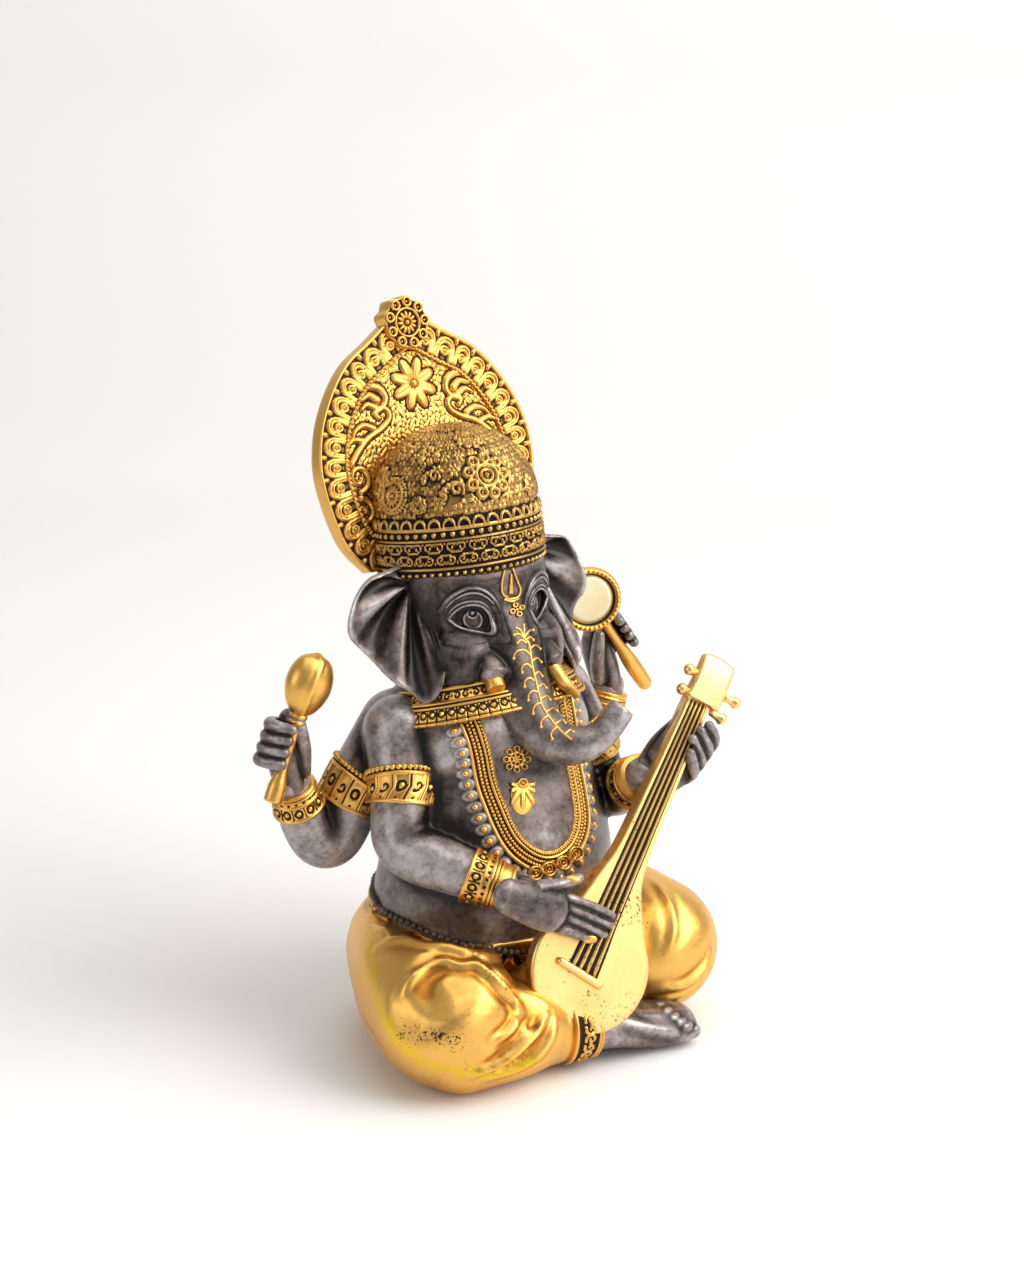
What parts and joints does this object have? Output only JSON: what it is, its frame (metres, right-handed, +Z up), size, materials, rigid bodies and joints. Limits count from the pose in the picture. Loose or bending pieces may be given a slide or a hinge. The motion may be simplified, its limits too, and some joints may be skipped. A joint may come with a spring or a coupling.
{
  "type": "seated elephant-headed figurine with lute",
  "caption": "Cast figurine of a seated elephant-headed figure with raised halo, domed crown and several arms, playing a long-necked lute; stands on its flat underside.",
  "frame": {"origin": "middle of the flat underside, on the plane it stands on", "axes": "+Z up; the figure faces -Y, and its own right hand is on the -X side"},
  "size_m": [0.1325, 0.1022, 0.2008],
  "materials": {
    "stone_grey": "painted resin, dark graphite grey dry-brushed with silver, darker in the recesses",
    "gold_leaf": "bright gold leaf paint with dark specks and worn patches, on the cloth, halo and lute",
    "antique_gold": "antique gold paint rubbed over a black-brown wash that stays in the recesses, on the crown and jewels"
  },
  "bodies": {
    "root": {"ganesha_figure": "stone_grey"}
  },
  "joints": []
}
